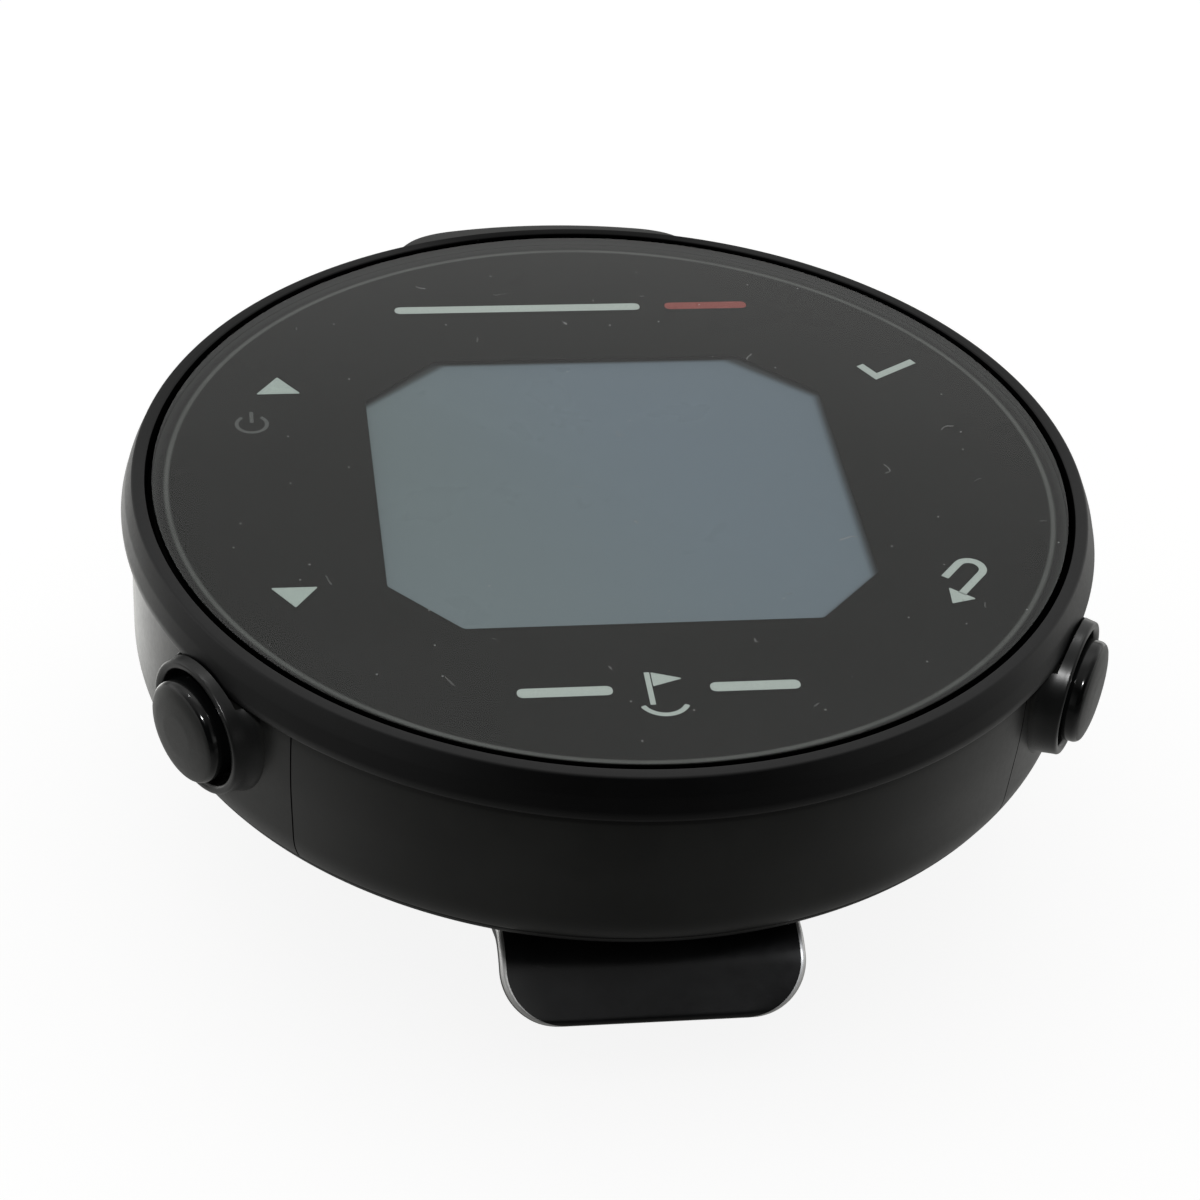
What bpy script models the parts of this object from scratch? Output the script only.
"""Clip-on round golf GPS unit: a disc-shaped case with a window, four side buttons and a sprung belt clip.

Frame: metres, +Z up out of the window, +Y towards the hinge lug, +X to the right.
The origin is on the case axis, in the plane of the clip arm's flat outer pad, so the unit rests
on z = 0. All sizes below are in millimetres and are scaled by MM where a mesh is made.
"""

import math

import bpy
import bmesh
from mathutils import Matrix, Vector

for old in list(bpy.data.objects):
    bpy.data.objects.remove(old, do_unlink=True)

MM = 0.001
GAP = 0.05                      # usual clearance between stacked parts

# ---- heights above the clip pad ----
LENS_TOP = 19.4
LENS_BOTTOM = 18.1
LIP_TOP = LENS_TOP + 0.05       # the bezel lip stands a hair proud of the window
LEDGE_TOP = 17.90               # bezel ledge under the window
BAND_TOP = 17.0
BEZEL_BOTTOM = BAND_TOP + GAP
BAND_BOTTOM = 9.4
COVER_TOP = BAND_BOTTOM - GAP
COVER_FLOOR = 8.1               # inner face of the back cover
COVER_BACK = 6.8                # flat outer face of the back cover
BOARD_BOTTOM = 12.6
BOARD_TOP = 13.4
PART_SEAT = BOARD_TOP + GAP     # underside of the parts on the board
INNER_SEAT = COVER_FLOOR + GAP  # underside of the parts on the back cover's floor

# ---- case radii ----
LENS_R = 23.27
LEDGE_IN_R = 21.60
LIP_IN_R = 23.62
LIP_OUT_R = 24.24
BAND_R = 24.40
BAND_IN_R = 22.90
BOARD_R = 20.2
RING = 48                       # sides of the large turned parts
INNER_RING = 36                 # sides of the frame and the board

# ---- push buttons; their lengths are radial distances from the case axis ----
BUTTONS = {"up": 143.5, "down": -147.7, "ok": 36.5, "back": -30.7}  # degrees from +X
BUTTON_SIDES = 20
BUTTON_Z = 14.55
BUTTON_R = 2.60
BUTTON_CROWN = 26.54
BUTTON_RIM = 26.32
BUTTON_INNER = 24.50            # the cap's inner face, and the button's origin
BORE_R = 2.98
BORE_FLOOR = 24.00
SCALLOP_R = 3.06
BOSS_LIP = 25.50
BOSS_LIP_R = 3.45
BOSS_ROOT_R = 3.90
STEM_R = 1.00
STEM_TIP = 21.60
STEM_GROOVE = (22.25, 22.65)
STEM_GROOVE_R = 0.72

# ---- hinge lug and pin ----
PIN_Y = 26.40
PIN_Z = 11.20
PIN_R = 0.70
PIN_HALF = 8.10
PIN_CHAMFER = 0.12
PIN_SIDES = 20
LUG_HOLE_R = 0.76
LUG_R = 29.60
LUG_HALF = 7.70
LUG_ROOT_R = 23.6
LUG_ROOT_HALF = 10.40
LUG_TOP = 16.80
LUG_BEVEL = 0.8
LUG_OUTER_R = 28                # the edges beyond this radius are rounded
POCKET_LOW = (-6.00, 24.45, 8.0)
POCKET_HIGH = (6.00, 28.35, 13.2)

# ---- clip arm ----
CLIP_T = 0.90
CLIP_HALF = 7.45
CLIP_CORNER = 2.80              # radius of the tip's corners in plan
TIP_EXTRA = 0.35                # added to the half width at the very tip
NECK_HALF = 5.80
NECK_START_Z = 7.2
NECK_RISE = 1.2                 # height over which the arm narrows to its neck
NECK_TOP_Z = 10.1
TIP_Y = -24.10
TIP_INNER_Z = 4.00              # inner face at the tip
PINCH_INNER_Z = 6.45            # inner face at the bend that rises towards the back cover
FLARE = 43.0                    # slope of the arm on the tip side of that bend, degrees
RETURN = 28.0                   # slope on the hinge side, degrees
PINCH_R = 2.0 + CLIP_T / 2      # mid-line bend radii
PAD_BEND_R = 4.0
HINGE_BEND_R = 8.5
KNUCKLE_R = 1.70
KNUCKLE_BORE_R = 0.79
SLOT_HALF = 2.4                 # half the space between the knuckles

# ---- torsion spring ----
SPRING_TURNS = 6.5
SPRING_STEPS = 8                # points in a turn
SPRING_R = 1.10
SPRING_HALF = 1.85
SPRING_WIRE_R = 0.20
SPRING_START = 160              # degrees

# ---- fasteners, charge port and internals ----
SCREW_X = 11.8
SCREW_Y = 14.1
POST_R = 1.9
POST_SIDES = 12
PORT_X = (12.4, 16.6)
PORT_HALF = 5.0
PORT_FIT = 0.1                  # clearance around the port in the cover
PORT_FLANGE = 0.8
CONTACT_X = sum(PORT_X) / 2
CONTACT_PITCH = 2.4
CONTACT_Y = [CONTACT_PITCH * (k - 1.5) for k in range(4)]
SMALL_SIDES = 16                # sides of screws, contacts and plungers
CAN_LOW = (-9.0, -14.4, PART_SEAT)
CAN_HIGH = (9.0, -1.0, 15.5)
CAN_WALL = 0.2
FLEX_T = 0.15

# Plain boxes inside the case: name, material, low corner, high corner, bevel, bevel segments
BOXES = [
    ("display_panel", "display", (-13.6, -15.0, 16.9), (13.6, 12.2, 18.0), 0.1, 1),
    ("light_guide", "light_guide", (-13.3, -14.7, 16.45), (13.3, 11.9, 16.85), 0, 1),
    ("processor", "chip", (-7.4, -11.2, PART_SEAT), (-0.4, -4.2, 14.35), 0.08, 1),
    ("memory_chip", "chip", (1.6, -10.0, PART_SEAT), (6.6, -5.5, 14.25), 0.08, 1),
    ("gps_antenna", "ceramic", (-6.0, 2.6, PART_SEAT), (6.0, 14.6, 15.6), 0.25, 2),
    ("battery_pad", "foam", (-9.0, -10.4, INNER_SEAT), (9.0, 10.4, 8.5), 0, 1),
    ("battery_connector", "ceramic", (-2.0, 14.0, 11.4), (2.0, 16.0, 12.5), 0.1, 1),
]


# ---- materials ----
def make_material(name, colour, roughness, metallic):
    material = bpy.data.materials.new(name)
    material.use_nodes = True
    inputs = material.node_tree.nodes["Principled BSDF"].inputs
    inputs["Base Color"].default_value = (*colour, 1.0)
    inputs["Roughness"].default_value = roughness
    inputs["Metallic"].default_value = metallic
    return material


MATERIALS = {row[0]: make_material(*row) for row in (
    # name, base colour, roughness, metallic
    ("lens", (0.036, 0.038, 0.036), 0.12, 0.0),
    ("adhesive", (0.02, 0.02, 0.02), 0.6, 0.0),
    ("bezel", (0.010, 0.010, 0.012), 0.38, 0.0),
    ("band", (0.014, 0.014, 0.014), 0.55, 0.0),
    ("cover", (0.014, 0.014, 0.014), 0.6, 0.0),
    ("button", (0.020, 0.020, 0.022), 0.45, 0.0),
    ("clip", (0.012, 0.012, 0.014), 0.35, 0.3),
    ("steel", (0.55, 0.55, 0.56), 0.3, 1.0),
    ("spring_steel", (0.5, 0.5, 0.52), 0.25, 1.0),
    ("rubber", (0.03, 0.03, 0.03), 0.8, 0.0),
    ("frame", (0.06, 0.06, 0.065), 0.6, 0.0),
    ("display", (0.16, 0.19, 0.20), 0.3, 0.0),
    ("light_guide", (0.85, 0.85, 0.85), 0.2, 0.0),
    ("board", (0.02, 0.10, 0.05), 0.5, 0.0),
    ("flex", (0.55, 0.28, 0.08), 0.4, 0.0),
    ("chip", (0.02, 0.02, 0.02), 0.5, 0.0),
    ("ceramic", (0.75, 0.73, 0.68), 0.5, 0.0),
    ("battery", (0.45, 0.46, 0.48), 0.35, 0.8),
    ("foam", (0.05, 0.05, 0.05), 0.9, 0.0),
    ("gold", (0.83, 0.60, 0.24), 0.25, 1.0),
    ("wire", (0.5, 0.02, 0.02), 0.5, 0.0),
)}


# ---- objects ----
def add(name, bm, material, parent=None, matrix=None, smooth=True):
    mesh = bpy.data.meshes.new(name)
    bm.to_mesh(mesh)
    bm.free()
    if smooth:
        mesh.shade_smooth()
        mesh.set_sharp_from_angle(angle=math.radians(30))
    obj = bpy.data.objects.new(name, mesh)
    bpy.context.scene.collection.objects.link(obj)
    if material:
        mesh.materials.append(MATERIALS[material])
    if matrix is not None:
        obj.matrix_world = matrix
    if parent is not None:
        obj.parent = parent
        obj.matrix_parent_inverse = parent.matrix_world.inverted()
    return obj


def boolean(obj, operation, tool_name, bm, matrix=None):
    """Makes a hidden helper from bm and applies it to obj as a live boolean."""
    tool = add(tool_name, bm, None, matrix=matrix)
    tool.hide_render = True
    tool.display_type = 'WIRE'
    modifier = obj.modifiers.new(operation.lower(), 'BOOLEAN')
    modifier.operation = operation
    modifier.object = tool
    modifier.solver = 'EXACT'


def joint_empty(name, matrix):
    empty = bpy.data.objects.new(name, None)
    empty.empty_display_size = 0.004
    bpy.context.scene.collection.objects.link(empty)
    empty.matrix_world = matrix
    bpy.context.view_layer.update()
    return empty


# ---- placement ----
def shift(x, y, z=0.0):
    return Matrix.Translation((x * MM, y * MM, z * MM))


def turn(degrees):
    return Matrix.Rotation(math.radians(degrees), 4, 'Z')


TO_X = Matrix.Rotation(math.radians(90), 4, 'Y')    # lays a body turned about Z along +X
PIN_PLACE = shift(0, PIN_Y, PIN_Z)
PIN_AXIS = PIN_PLACE @ TO_X
# Lays a body turned about Z along each button's axis, its height becoming radial distance.
BUTTON_AXES = [turn(degrees) @ shift(0, 0, BUTTON_Z) @ TO_X for degrees in BUTTONS.values()]
SCREW_PLACES = [shift(side_x * SCREW_X, side_y * SCREW_Y)
                for side_x, side_y in ((1, 1), (-1, 1), (-1, -1), (1, -1))]
CONTACT_PLACES = [shift(CONTACT_X, y) for y in CONTACT_Y]


# ---- shapes, from sizes in mm ----
def clean(bm):
    bmesh.ops.remove_doubles(bm, verts=bm.verts, dist=1e-6)
    bmesh.ops.dissolve_degenerate(bm, dist=1e-7, edges=bm.edges)
    bmesh.ops.recalc_face_normals(bm, faces=bm.faces)
    return bm


def turned(profile, sides=RING, matrix=None):
    """Spins a profile of (radius, height) about Z.

    The profile is closed on itself unless both ends lie on the axis.
    """
    bm = bmesh.new()
    verts = [bm.verts.new((radius * MM, 0.0, z * MM)) for radius, z in profile]
    count = len(verts)
    on_axis = profile[0][0] == 0 and profile[-1][0] == 0
    edges = [bm.edges.new((verts[i], verts[(i + 1) % count]))
             for i in range(count - 1 if on_axis else count)]
    bmesh.ops.spin(bm, geom=verts + edges, cent=(0, 0, 0), axis=(0, 0, 1),
                   angle=2 * math.pi, steps=sides)
    clean(bm)
    if matrix is not None:
        bmesh.ops.transform(bm, matrix=matrix, verts=bm.verts)
    return bm


def cylinder(radius, start, end):
    """The profile of a plain cylinder, for turned()."""
    return [(0, start), (radius, start), (radius, end), (0, end)]


def joined(shells):
    """One bmesh that holds the given ones as separate shells."""
    bm = bmesh.new()
    for shell in shells:
        mesh = bpy.data.meshes.new("shell")
        shell.to_mesh(mesh)
        shell.free()
        bm.from_mesh(mesh)
        bpy.data.meshes.remove(mesh)
    return bm


def turned_at(places, profile, sides, extra=()):
    """The turned profile at each place, joined with any extra bodies."""
    return joined([turned(profile, sides, place) for place in places] + list(extra))


def block(low, high, bevel=0.0, segments=1):
    bm = bmesh.new()
    bmesh.ops.create_cube(bm, size=1.0)
    low = Vector(low) * MM
    high = Vector(high) * MM
    for vert in bm.verts:
        vert.co = Vector([(low[i] + high[i]) / 2 + vert.co[i] * (high[i] - low[i])
                          for i in range(3)])
    if bevel:
        bmesh.ops.bevel(bm, geom=list(bm.edges), offset=bevel * MM, segments=segments,
                        affect='EDGES', profile=0.5)
    return clean(bm)


def plate(points, bottom, top):
    """A flat outline of (x, y) extruded from bottom to top."""
    bm = bmesh.new()
    face = bm.faces.new([bm.verts.new((x * MM, y * MM, bottom * MM)) for x, y in points])
    raised = bmesh.ops.extrude_face_region(bm, geom=[face])["geom"]
    bmesh.ops.translate(bm, verts=[part for part in raised if isinstance(part, bmesh.types.BMVert)],
                        vec=(0, 0, (top - bottom) * MM))
    return clean(bm)


def strip(path, half_widths, thickness, lateral='X'):
    """A ribbon along a mid line of (along, z) points, with a half width for each point.

    The path runs in the YZ plane for lateral X, and in the XZ plane for lateral Y.
    """
    bm = bmesh.new()
    rows = []
    last = len(path) - 1
    for i, (along, z) in enumerate(path):
        before = path[max(i - 1, 0)]
        after = path[min(i + 1, last)]
        tangent = Vector((after[0] - before[0], after[1] - before[1])).normalized()
        normal = Vector((-tangent.y, tangent.x)) * thickness / 2
        row = []
        for side, face in ((-1, -1), (1, -1), (1, 1), (-1, 1)):
            point = (side * half_widths[i], along + face * normal.x, z + face * normal.y)
            if lateral == 'Y':
                point = (point[1], point[0], point[2])
            row.append(bm.verts.new(Vector(point) * MM))
        rows.append(row)
    skin(bm, rows)
    return clean(bm)


def tube(path, radius, sides):
    """A round wire along 3-D points, with flat ends."""
    points = [Vector(point) for point in path]
    last = len(points) - 1
    bm = bmesh.new()
    across = None
    rings = []
    for i, point in enumerate(points):
        tangent = (points[min(i + 1, last)] - points[max(i - 1, 0)]).normalized()
        if across is None:
            across = tangent.orthogonal().normalized()
        across = (across - tangent * across.dot(tangent)).normalized()
        side = tangent.cross(across)
        ring = []
        for k in range(sides):
            angle = 2 * math.pi * k / sides
            offset = (across * math.cos(angle) + side * math.sin(angle)) * radius
            ring.append(bm.verts.new((point + offset) * MM))
        rings.append(ring)
    skin(bm, rings)
    return clean(bm)


def skin(bm, rings):
    """Joins successive vertex rings with quads and closes both ends."""
    count = len(rings[0])
    for ring, following in zip(rings, rings[1:]):
        for k in range(count):
            after = (k + 1) % count
            bm.faces.new((ring[k], ring[after], following[after], following[k]))
    bm.faces.new(rings[0])
    bm.faces.new(rings[-1])


def arc(centre_x, centre_y, radius, start, end, steps):
    """Points of an arc between two angles in degrees, both ends included."""
    angles = [math.radians(start + (end - start) * i / steps) for i in range(steps + 1)]
    return [(centre_x + radius * math.cos(angle), centre_y + radius * math.sin(angle))
            for angle in angles]


# ---- case; the profiles are (radius, height) ----
def build_window():
    add("lens", turned([
        (0, LENS_TOP), (LENS_R - 0.75, LENS_TOP), (LENS_R, LENS_TOP - 0.12),
        (LENS_R, LENS_BOTTOM), (0, LENS_BOTTOM)]), "lens")
    inner, outer = LEDGE_IN_R + 0.3, LENS_R - 0.1
    top, bottom = LENS_BOTTOM - GAP, LEDGE_TOP + GAP
    add("lens_adhesive", turned([
        (inner, top), (outer, top), (outer, bottom), (inner, bottom)]), "adhesive")


def build_bezel():
    """A conical ring with an inner ledge that carries the window."""
    bezel = add("bezel", turned([
        (LEDGE_IN_R, LEDGE_TOP), (LIP_IN_R, LEDGE_TOP), (LIP_IN_R, LIP_TOP - 0.10),
        (LIP_IN_R + 0.10, LIP_TOP), (LIP_OUT_R - 0.12, LIP_TOP),
        (LIP_OUT_R + 0.02, LIP_TOP - 0.10), (24.62, 18.45), (24.80, 17.95), (24.85, 17.60),
        (24.80, 17.28), (24.62, 17.10), (24.45, BEZEL_BOTTOM), (LEDGE_IN_R, BEZEL_BOTTOM)]),
        "bezel")
    # The lower edge is scalloped where the button bores rise past it.
    boolean(bezel, 'DIFFERENCE', "tool_scallops",
            turned_at(BUTTON_AXES, cylinder(SCALLOP_R, 23.75, 26.0), BUTTON_SIDES))


def lug_body():
    """The hinge lug, with its outer top rim and upright corners rounded."""
    half_angle = math.degrees(math.asin(LUG_HALF / LUG_R))
    root_angle = math.degrees(math.asin(LUG_ROOT_HALF / LUG_ROOT_R))
    bm = plate(arc(0, 0, LUG_R, 90 - half_angle, 90 + half_angle, 10)
               + arc(0, 0, LUG_ROOT_R, 90 + root_angle, 90 - root_angle, 10),
               BAND_BOTTOM, LUG_TOP)
    outer = LUG_OUTER_R * MM
    rim = [edge for edge in bm.edges
           if all(vert.co.z > (LUG_TOP - 0.01) * MM and vert.co.to_2d().length > outer
                  for vert in edge.verts)]
    corners = []
    for edge in bm.edges:
        first, second = (vert.co for vert in edge.verts)
        upright = abs(first.z - second.z) > 1 * MM
        at_side = abs(first.x) > (LUG_HALF - 0.1) * MM
        if upright and at_side and first.to_2d().length > outer:
            corners.append(edge)
    bmesh.ops.bevel(bm, geom=rim + corners, offset=LUG_BEVEL * MM, segments=3,
                    affect='EDGES', profile=0.5)
    return clean(bm)


def build_band():
    """The case's side wall with four button bosses and the hinge lug."""
    band = add("case_band", turned([
        (BAND_IN_R, BAND_TOP), (24.15, BAND_TOP), (BAND_R, 14.2), (BAND_R, 10.9),
        (24.34, 10.3), (24.22, 9.75), (24.05, BAND_BOTTOM), (BAND_IN_R, BAND_BOTTOM)]), "band")
    boss = [(0, 23.4), (BOSS_ROOT_R, 23.4), (BOSS_ROOT_R - 0.05, 24.3),
            (BOSS_LIP_R + 0.02, BOSS_LIP - 0.16), (BOSS_LIP_R - 0.2, BOSS_LIP), (0, BOSS_LIP)]
    boolean(band, 'UNION', "tool_bosses", turned_at(BUTTON_AXES, boss, BUTTON_SIDES))
    boolean(band, 'UNION', "tool_lug", lug_body())
    # The bosses stop short of the bezel, so that it drops in over the band.
    boolean(band, 'DIFFERENCE', "tool_bezel_room",
            turned([(20.0, BAND_TOP), (24.95, BAND_TOP), (24.95, 18.6), (20.0, 18.6)]))
    bore = [(0, 21.5), (1.15, 21.5), (1.15, 23.40), (1.75, 23.40), (1.75, BORE_FLOOR),
            (BORE_R, BORE_FLOOR), (BORE_R, 26.5), (0, 26.5)]
    boolean(band, 'DIFFERENCE', "tool_bores", turned_at(BUTTON_AXES, bore, BUTTON_SIDES))
    boolean(band, 'DIFFERENCE', "tool_pocket", block(POCKET_LOW, POCKET_HIGH))
    boolean(band, 'DIFFERENCE', "tool_pin_hole",
            turned(cylinder(LUG_HOLE_R, -12.0, 12.0), PIN_SIDES, PIN_AXIS))


def build_back_cover():
    cover = add("back_cover", turned([
        (0, COVER_FLOOR), (20.9, COVER_FLOOR), (20.9, 10.4), (21.5, 10.4), (21.5, COVER_TOP),
        (23.98, COVER_TOP), (23.85, 8.98), (22.3, 7.85), (20.5, COVER_BACK),
        (0, COVER_BACK)]), "cover")
    screw_hole = [(0, 6.0), (1.72, 6.0), (1.72, 7.70), (0.95, 7.70), (0.95, 8.6), (0, 8.6)]
    port_opening = block((PORT_X[0] - PORT_FIT, -PORT_HALF - PORT_FIT, 6.0),
                         (PORT_X[1] + PORT_FIT, PORT_HALF + PORT_FIT, 9.0))
    boolean(cover, 'DIFFERENCE', "tool_cover_holes",
            turned_at(SCREW_PLACES, screw_hole, SMALL_SIDES, [port_opening]))
    # A ring of four-sided section
    add("case_seal", turned(arc(22.2, 10.0, 0.58, 45, 315, 3)), "rubber")


def build_back_screws():
    screw = [(0, 12.4), (0.55, 12.4), (0.80, 12.1), (0.80, 7.64), (1.60, 7.64),
             (1.60, 6.98), (1.45, 6.86), (0, 6.86)]
    for k, place in enumerate(SCREW_PLACES, 1):
        body = add(f"back_screw_{k}", turned(screw, SMALL_SIDES), "steel", matrix=place)
        boolean(body, 'DIFFERENCE', f"tool_drive_{k}", turned(cylinder(0.62, 6.5, 7.30), 6, place))


# ---- inside the case ----
def build_frame():
    """The internal frame with its four screw posts."""
    frame = add("internal_frame", turned([
        (0, 16.40), (21.35, 16.40), (21.35, 16.95), (22.70, 16.95), (22.70, 16.32),
        (21.50, 16.32), (21.40, 15.75), (0, 15.75)], INNER_RING), "frame")
    boolean(frame, 'UNION', "tool_posts",
            turned_at(SCREW_PLACES, cylinder(POST_R, INNER_SEAT, 16.0), POST_SIDES))
    flex_slot = block((-5.6, -18.4, 15.0), (5.6, -16.4, 17.6))
    boolean(frame, 'DIFFERENCE', "tool_post_holes",
            turned_at(SCREW_PLACES, cylinder(0.92, 7.5, 13.0), POST_SIDES, [flex_slot]))


def build_boxes():
    for name, material, low, high, bevel, segments in BOXES:
        add(name, block(low, high, bevel, segments), material, smooth=False)


def build_display_flex():
    # (y, z) along the ribbon, from the display down towards the board
    path = [(-15.1, 17.4), (-16.3, 17.4)]
    path += arc(-16.3, 16.3, 1.1, 90, 180, 5)
    path += [(-17.4, 15.0)]
    path += arc(-16.5, 14.6, 0.9, 180, 270, 5)
    path += [(-15.4, 13.7)]
    add("display_flex", strip(path, [5.0] * len(path), FLEX_T), "flex", smooth=False)


def build_board():
    """The main board, notched around the screw posts, and its shield can."""
    board = add("main_board", turned(cylinder(BOARD_R, BOARD_TOP, BOARD_BOTTOM), INNER_RING),
                "board")
    boolean(board, 'DIFFERENCE', "tool_notches",
            turned_at(SCREW_PLACES, cylinder(2.2, 12.0, 14.0), POST_SIDES))
    can = add("shield_can", block(CAN_LOW, CAN_HIGH, 0.15), "steel", smooth=False)
    # The hollow runs out below, so the can is open underneath.
    boolean(can, 'DIFFERENCE', "tool_can",
            block((CAN_LOW[0] + CAN_WALL, CAN_LOW[1] + CAN_WALL, 13.0),
                  [side - CAN_WALL for side in CAN_HIGH]))


def build_battery():
    add("battery", block((-9.5, -11.0, 8.6), (9.5, 11.0, 11.95), 0.5, 2), "battery")
    # (x, y, z) from the battery to its connector
    lead = [(0, 11.1, 10.3), (0, 11.7, 10.3), (0, 12.3, 10.5), (0, 12.8, 11.0),
            (0, 13.3, 11.6), (0, 13.9, 11.8)]
    add("battery_lead", tube(lead, 0.35, 8), "wire")


def build_charge_port():
    port = add("charge_port", block((PORT_X[0], -PORT_HALF, 6.85), (PORT_X[1], PORT_HALF, 8.6)),
               "frame", smooth=False)
    boolean(port, 'UNION', "tool_port_flange",
            block((PORT_X[0] - PORT_FLANGE, -PORT_HALF - PORT_FLANGE, INNER_SEAT),
                  (PORT_X[1] + PORT_FLANGE, PORT_HALF + PORT_FLANGE, 9.0)))
    boolean(port, 'DIFFERENCE', "tool_contact_holes",
            turned_at(CONTACT_PLACES, cylinder(0.68, 6.0, 10.0), SMALL_SIDES))
    contact = [(0, 6.86), (0.45, 6.86), (0.60, 7.0), (0.60, 9.3), (0, 9.3)]
    for k, place in enumerate(CONTACT_PLACES, 1):
        add(f"charge_contact_{k}", turned(contact, SMALL_SIDES), "gold", matrix=place)
    # (x, z) along the ribbon, from above the contacts round to the board's underside
    path = [(16.4, 9.45), (13.4, 9.45)] + arc(13.4, 10.95, 1.5, -90, -270, 10) + [(15.2, 12.45)]
    add("charge_flex", strip(path, [4.4] * len(path), FLEX_T, 'Y'), "flex", smooth=False)


# ---- buttons, each sliding in along its own radius ----
def from_inner(distance):
    """A radial distance measured from the button's origin."""
    return distance - BUTTON_INNER


def turned_x(profile, sides):
    """Turns a profile of (radius, radial distance) about the button's own X axis."""
    return turned([(radius, from_inner(distance)) for radius, distance in profile], sides, TO_X)


def build_button(name, degrees):
    axis = turn(degrees) @ shift(BUTTON_INNER, 0, BUTTON_Z)
    slide = joint_empty(f"axis_{name}", axis)
    groove_in, groove_out = STEM_GROOVE
    cap_and_stem = [
        (0, BUTTON_CROWN), (1.4, BUTTON_CROWN - 0.07), (2.20, BUTTON_RIM),
        (BUTTON_R, BUTTON_RIM - 0.37), (BUTTON_R, BUTTON_INNER), (STEM_R, BUTTON_INNER),
        (STEM_R, groove_out), (STEM_GROOVE_R, groove_out), (STEM_GROOVE_R, groove_in),
        (STEM_R, groove_in), (STEM_R, STEM_TIP), (0, STEM_TIP)]
    add(f"button_{name}", turned_x(cap_and_stem, BUTTON_SIDES), "button", slide, axis)
    add(f"button_seal_{name}", turned_x(arc(1.38, 23.70, 0.27, 0, 300, 5), 12), "rubber",
        matrix=axis)

    # Open ring in the stem's groove
    ring = plate(arc(0, 0, 1.6, 35, 325, 9) + arc(0, 0, 0.80, 325, 35, 9),
                 from_inner(22.33), from_inner(22.57))
    bmesh.ops.transform(ring, matrix=TO_X, verts=ring.verts)
    add(f"retaining_clip_{name}", ring, "steel", slide, axis, smooth=False)

    add(f"switch_plunger_{name}", turned_x(cylinder(0.60, 20.10, 21.52), SMALL_SIDES), "frame",
        slide, axis)
    switch = add(f"switch_{name}",
                 block((from_inner(18.2), -2.1, PART_SEAT - BUTTON_Z),
                       (from_inner(20.6), 2.1, 15.5 - BUTTON_Z), 0.1),
                 "chip", matrix=axis, smooth=False)
    boolean(switch, 'DIFFERENCE', f"tool_switch_{name}",
            turned_x(cylinder(0.75, 19.6, 21.0), SMALL_SIDES), axis)


# ---- clip: pin, arm and torsion spring ----
def build_pin():
    end_r, shoulder = PIN_R - PIN_CHAMFER, PIN_HALF - PIN_CHAMFER
    add("clip_pin", turned([
        (0, PIN_HALF), (end_r, PIN_HALF), (PIN_R, shoulder), (PIN_R, -shoulder),
        (end_r, -PIN_HALF), (0, -PIN_HALF)], PIN_SIDES, TO_X), "steel", matrix=PIN_PLACE)


def arm_path():
    """The arm's mid line as (y, z), from the tip over the pinch bend to the flat pad and hinge."""
    half_t = CLIP_T / 2
    flare, back = math.radians(FLARE), math.radians(RETURN)
    # Straight slope from the tip to the pinch bend
    pinch_z = PINCH_INNER_Z - half_t
    tip = Vector((TIP_Y + half_t * math.sin(flare), TIP_INNER_Z - half_t * math.cos(flare)))
    slope_z = pinch_z - PINCH_R * (1 - math.cos(flare))
    slope_end = Vector((tip.x + (slope_z - tip.y) / math.tan(flare), slope_z))
    path = [tuple(tip.lerp(slope_end, t)) for t in (0, 0.12, 0.24, 0.4, 0.6, 0.8)]
    apex_y = slope_end.x + PINCH_R * math.sin(flare)
    path += arc(apex_y, pinch_z - PINCH_R, PINCH_R, 90 + FLARE, 90 - RETURN, 8)
    # Straight slope down to the pad
    pinch_end = Vector(path[-1])
    return_z = half_t + PAD_BEND_R * (1 - math.cos(back))
    return_end = Vector((pinch_end.x + (pinch_end.y - return_z) / math.tan(back), return_z))
    pad_start = return_end.x + PAD_BEND_R * math.sin(back)
    path.append(tuple(pinch_end.lerp(return_end, 0.5)))
    path += arc(pad_start, half_t + PAD_BEND_R, PAD_BEND_R, 270 - RETURN, 270, 5)
    # Flat pad, then the quarter bend up to the hinge
    pad_end = PIN_Y - HINGE_BEND_R
    path += [(pad_start + (pad_end - pad_start) * t, half_t) for t in (0.33, 0.66)]
    path += arc(pad_end, half_t + HINGE_BEND_R, HINGE_BEND_R, -90, 0, 8)
    path.append((PIN_Y, NECK_TOP_Z))
    return path


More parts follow.
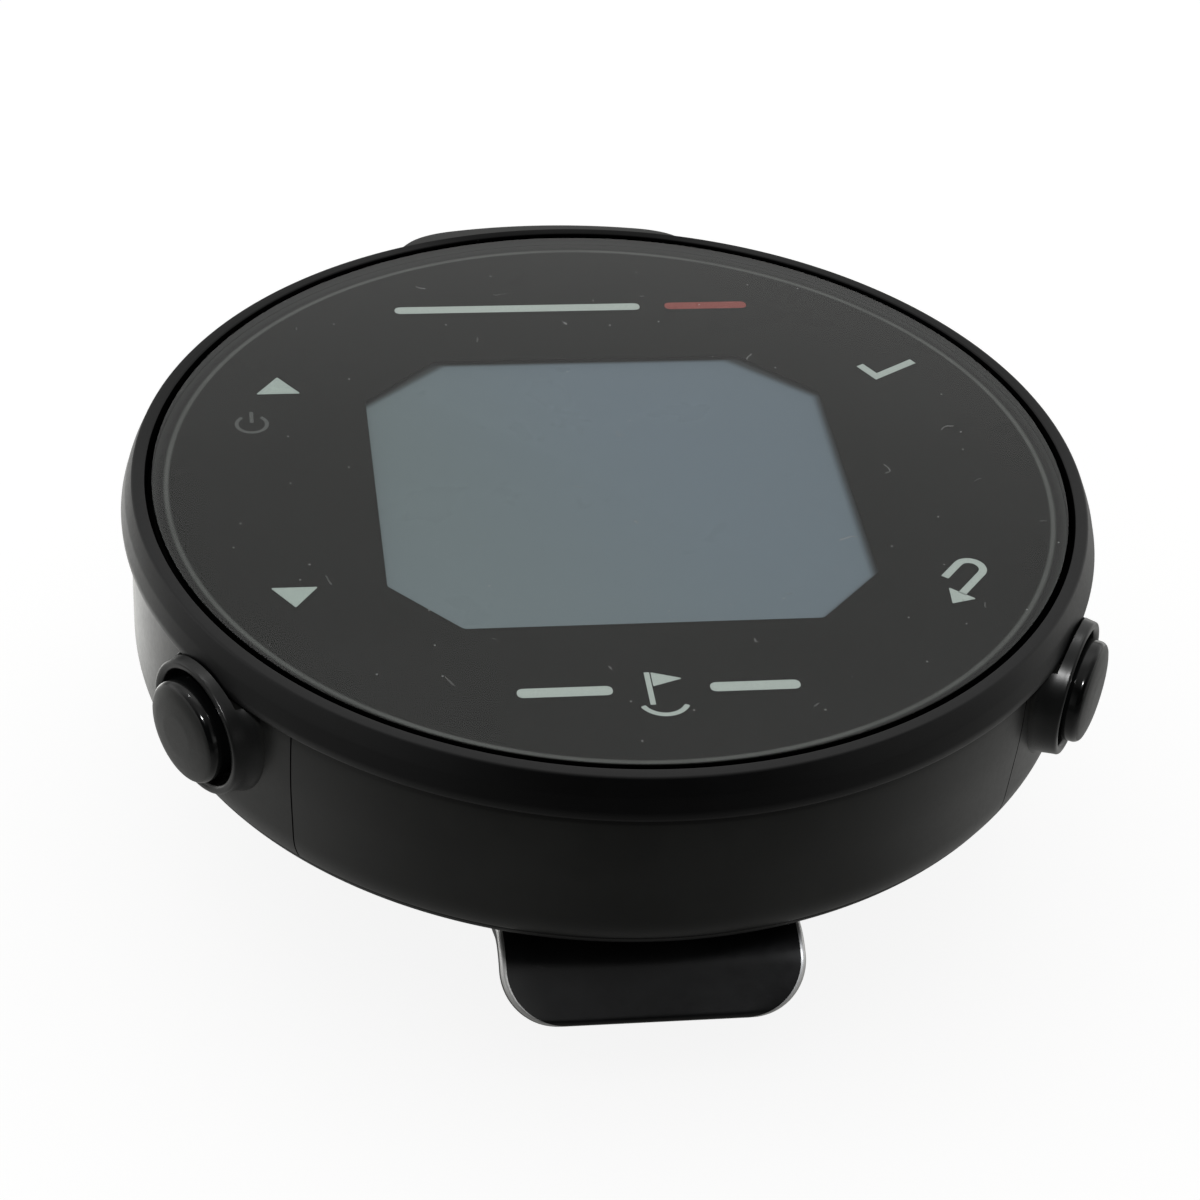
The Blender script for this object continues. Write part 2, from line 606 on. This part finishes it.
def arm_half_widths(path):
    """Half widths along the arm: rounded tip corners, even sides, then a smooth neck."""
    widths = []
    travelled = 0.0
    for i, (y, z) in enumerate(path):
        if i:
            travelled += math.hypot(y - path[i - 1][0], z - path[i - 1][1])
        width = CLIP_HALF
        if travelled < CLIP_CORNER:
            left = CLIP_CORNER - travelled
            width += math.sqrt(max(CLIP_CORNER ** 2 - left ** 2, 0.0)) - CLIP_CORNER
            if i == 0:
                width += TIP_EXTRA
        if y > PIN_Y - HINGE_BEND_R + 1 and z > NECK_START_Z:
            t = min((z - NECK_START_Z) / NECK_RISE, 1.0)
            width = CLIP_HALF - (CLIP_HALF - NECK_HALF) * (3 * t * t - 2 * t ** 3)
        widths.append(width)
    return widths


def build_arm():
    hinge = joint_empty("axis_clip", PIN_PLACE)
    path = arm_path()
    body = strip(path, arm_half_widths(path), CLIP_T)
    # The arm's origin is on the pin.
    bmesh.ops.transform(body, matrix=shift(0, -PIN_Y, -PIN_Z), verts=body.verts)
    arm = add("clip_arm", body, "clip", hinge, PIN_PLACE)
    end = NECK_HALF + 0.05
    knuckles = [turned(cylinder(KNUCKLE_R, x0, x1), PIN_SIDES, PIN_AXIS)
                for x0, x1 in ((-end, -SLOT_HALF), (SLOT_HALF, end))]
    boolean(arm, 'UNION', "tool_knuckles", joined(knuckles))
    boolean(arm, 'DIFFERENCE', "tool_slot",
            block((-SLOT_HALF, 24.0, 8.7), (SLOT_HALF, 29.0, 14.0)))
    boolean(arm, 'DIFFERENCE', "tool_knuckle_bore",
            turned(cylinder(KNUCKLE_BORE_R, -9.0, 9.0), PIN_SIDES, PIN_AXIS))


def build_spring():
    """A coil round the pin, with a leg at each end."""
    half = SPRING_HALF
    path = [(-half, PIN_Y - 0.55, 12.95), (-half, PIN_Y - 0.95, 12.0)]
    steps = int(SPRING_TURNS * SPRING_STEPS)
    for i in range(steps + 1):
        angle = math.radians(SPRING_START) + 2 * math.pi * SPRING_TURNS * i / steps
        path.append((-half + 2 * half * i / steps,
                     PIN_Y + SPRING_R * math.cos(angle),
                     PIN_Z + SPRING_R * math.sin(angle)))
    path += [(half, PIN_Y + 1.02, 10.4), (half, PIN_Y + 0.80, 9.2), (half, PIN_Y + 0.70, 8.2)]
    add("clip_spring", tube(path, SPRING_WIRE_R, 6), "spring_steel")


build_window()
build_bezel()
build_band()
build_back_cover()
build_frame()
build_boxes()
build_display_flex()
build_board()
build_battery()
build_charge_port()
build_back_screws()
for button_name, direction in BUTTONS.items():
    build_button(button_name, direction)
build_pin()
build_arm()
build_spring()
